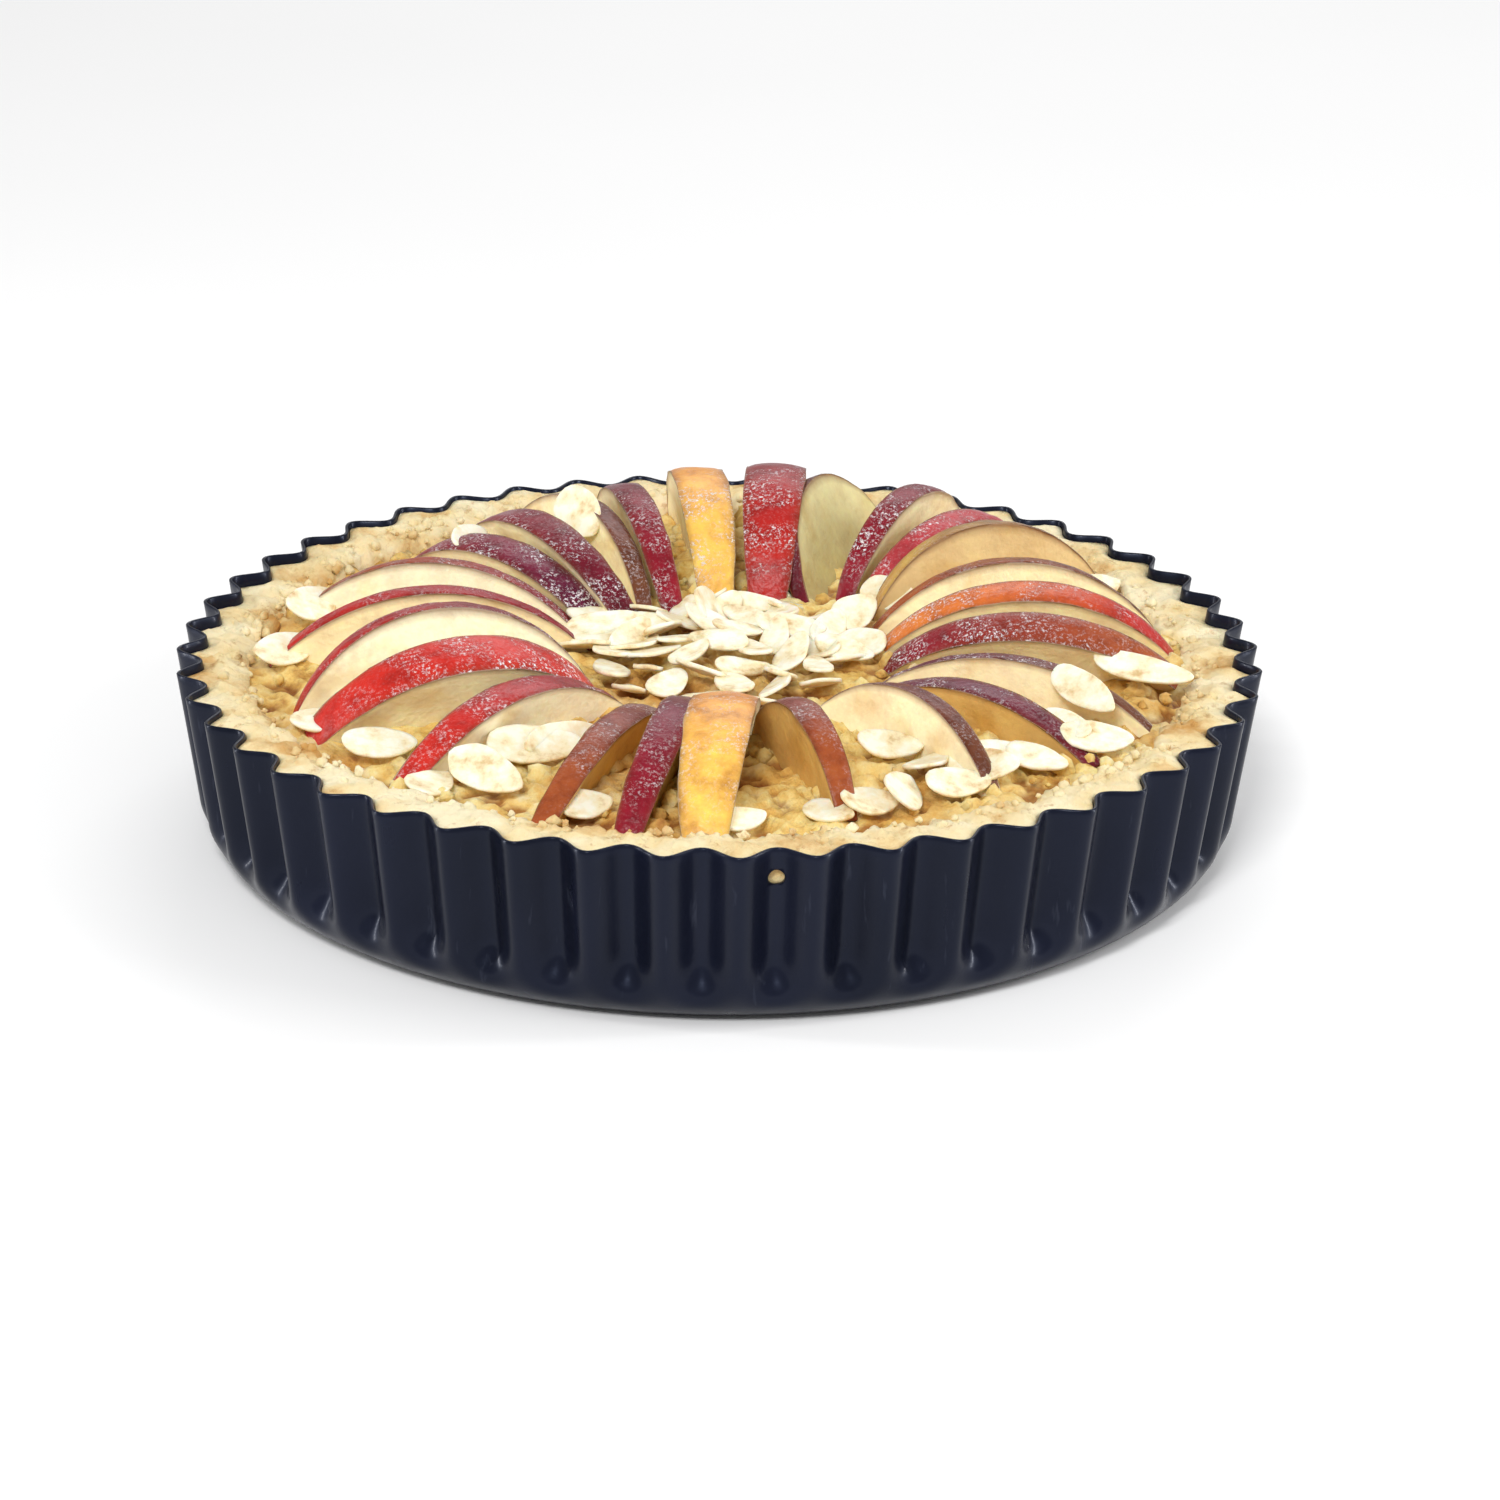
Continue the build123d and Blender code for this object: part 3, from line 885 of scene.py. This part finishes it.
# %% Flakes in the middle
HEAP = [
    (-27, 13, 4.5, 20, 12, 20, 14, -8), (-19, 3, 4.0, 16, 10, 60, -14, 8),
    (17, 13, 5.5, 17, 8, 5, 18, 8), (-3, 22, 7.0, 14, 10, 80, 62, 0),
    (32, 22, 6.0, 12, 9, 30, 36, -20), (29, 2, 4.0, 15, 8, -25, 14, 8),
]
SPIRAL_FLAKES = 44
SPIRAL_TURN = 137.5
HEAP_RADIUS = 35
HEAP_BACK = 4
for number in range(SPIRAL_FLAKES):
    radius = HEAP_RADIUS * math.sqrt((number + 0.5) / SPIRAL_FLAKES)
    height = 2.2 + 3.6 * (1 - radius / HEAP_RADIUS) + chance.uniform(-0.4, 1.2)
    spot = polar(radius, SPIRAL_TURN * number)
    HEAP.append((spot.x, spot.y + HEAP_BACK, height, chance.uniform(11, 16), chance.uniform(6.5, 9),
                 chance.uniform(0, 180), chance.uniform(-32, 32), chance.uniform(-24, 24)))
make_flakes("tart_centre_flakes", "centre_flakes", HEAP)

# %% Flakes between the slices
LOOSE = [
    (97, -17, 7, 24, 8.5, -18, 20, 6), (82, -36, 9, 21, 8, -52, 38, 10), (62, -60, 3, 16, 10, 20, 16, 4),
    (70, -62, 3, 15, 9, -30, 10, 6), (-34, 58, 17, 17, 11, -55, 50, 20), (-60, 54, 11, 17, 10, 75, 35, 0),
    (-96, 26, 5, 17, 10, 60, 30, 0), (-100, -2, 4, 17, 10, 50, 24, 0), (-40, -62, 5, 22, 11, 12, 26, 4),
    (-50, -78, 5, 20, 10, -34, 36, 10), (-35, -58, 5, 20, 7, 42, 60, 0), (-74, -60, 4, 17, 11, 15, 14, 4),
    (38, -60, 5, 15, 9, 10, 20, 8), (40, -84, 4, 14, 10, 80, 40, 0), (33, -88, 3, 15, 9, 35, 20, 10),
    (52, -78, 3.4, 16, 9, 25, 22, 6), (90, 46, 4, 14, 9, 30, 20, 0), (40, 34, 6, 14, 9, -15, 40, 0),
    (-28, -90, 2.4, 12, 9, 10, 20, 0), (58, -70, 4.4, 17, 10, -15, 22, -8), (84, -52, 4, 17, 10, 5, 18, 6),
    (46, -68, 4, 15, 9, 60, -14, 6), (-62, -80, 2.6, 14, 9, 60, 14, 4), (76, -48, 5, 16, 10, -40, 20, 0),
    (-88, -44, 3, 15, 9, 30, 12, 0), (5, -98, 2.5, 12, 8, 20, 14, 0), (24, -92, 2.2, 12, 8, -30, 10, 0),
]
make_flakes("tart_scattered_flakes", "scattered_flakes", LOOSE)

# %% [markdown]
# ## Floor, light and camera
# A plain pale floor runs far behind the pan. A soft key lamp stands high in front, a little
# to the left, and weaker lamps fill the right and the back. A narrow strip on each side
# draws thin bright lines on the flutes, and a white sky lifts the shadows.

# %% Floor
HALF_FLOOR = 30.0
floor_points = [Vector((x * HALF_FLOOR, y * HALF_FLOOR, 0)) for x, y in ((-1, -1), (1, -1), (1, 1), (-1, 1))]
floor = add_mesh("floor", floor_points, [(0, 1, 2, 3)])
paper = Finish("pale_paper", 0.9, Specular_IOR_Level=0.1)
paper.colour(paper.ramp(paper.noise(3.0, 2.0), (0.3, (0.93, 0.93, 0.93)), (0.7, (0.95, 0.95, 0.95))))
floor.data.materials.append(paper.material)
print("floor is", 2 * HALF_FLOOR, "m across")


# %% Lights
def aim(thing, target):
    direction = Vector(target) - thing.location
    thing.rotation_euler = direction.to_track_quat("-Z", "Y").to_euler()


def soft_lamp(name, place, target, power, width, height):
    lamp = bpy.data.lights.new(name, "AREA")
    lamp.shape = "RECTANGLE"
    lamp.size = width
    lamp.size_y = height
    lamp.energy = power
    holder = bpy.data.objects.new(name, lamp)
    holder.location = place
    bpy.context.scene.collection.objects.link(holder)
    aim(holder, target)


soft_lamp("key", (-0.25, -1.25, 1.15), (0, 0, 0.03), 18.0, 0.45, 0.35)
soft_lamp("fill", (1.1, -0.3, 0.8), (0, 0, 0.03), 3.5, 0.5, 0.5)
soft_lamp("back", (0.2, 1.3, 1.0), (0, 0, 0.03), 6.0, 1.0, 0.5)
soft_lamp("left_strip", (-0.9, -0.05, 0.25), (0, 0, 0.03), 3.5, 0.03, 0.6)
soft_lamp("right_strip", (0.9, -0.05, 0.25), (0, 0, 0.03), 3.5, 0.03, 0.6)
world = bpy.data.worlds.new("studio")
world.use_nodes = True
sky = world.node_tree.nodes["Background"]
sky.inputs["Color"].default_value = (1.0, 1.0, 1.0, 1.0)
sky.inputs["Strength"].default_value = 0.42
bpy.context.scene.world = world
bpy.context.scene.view_settings.view_transform = "Standard"
print("lamps:", len(bpy.data.lights))

# %% [markdown]
# The camera looks down at about 21 degrees through a long lens, like a product view. A
# small shift frames the pan, and the camera is rolled by less than a degree.

# %% Camera
LENS = 116.8
SENSOR = 36.0
CAMERA_BACK = 1.053
CAMERA_UP = 0.396
CAMERA_ROLL = 0.68
lens = bpy.data.cameras.new("camera")
lens.lens = LENS
lens.sensor_width = SENSOR
lens.shift_x = 0.0206
lens.shift_y = -0.069
camera = bpy.data.objects.new("camera", lens)
bpy.context.scene.collection.objects.link(camera)
camera.location = (0.0, -CAMERA_BACK, RIM_Z + CAMERA_UP)
look = (Vector((0, 0, RIM_Z)) - camera.location).normalized()
roll = Matrix.Rotation(math.radians(CAMERA_ROLL), 4, "Z")
camera.rotation_euler = (look.to_track_quat("-Z", "Y").to_matrix().to_4x4() @ roll).to_euler()
bpy.context.scene.camera = camera
print("camera at", [round(v, 3) for v in camera.location])
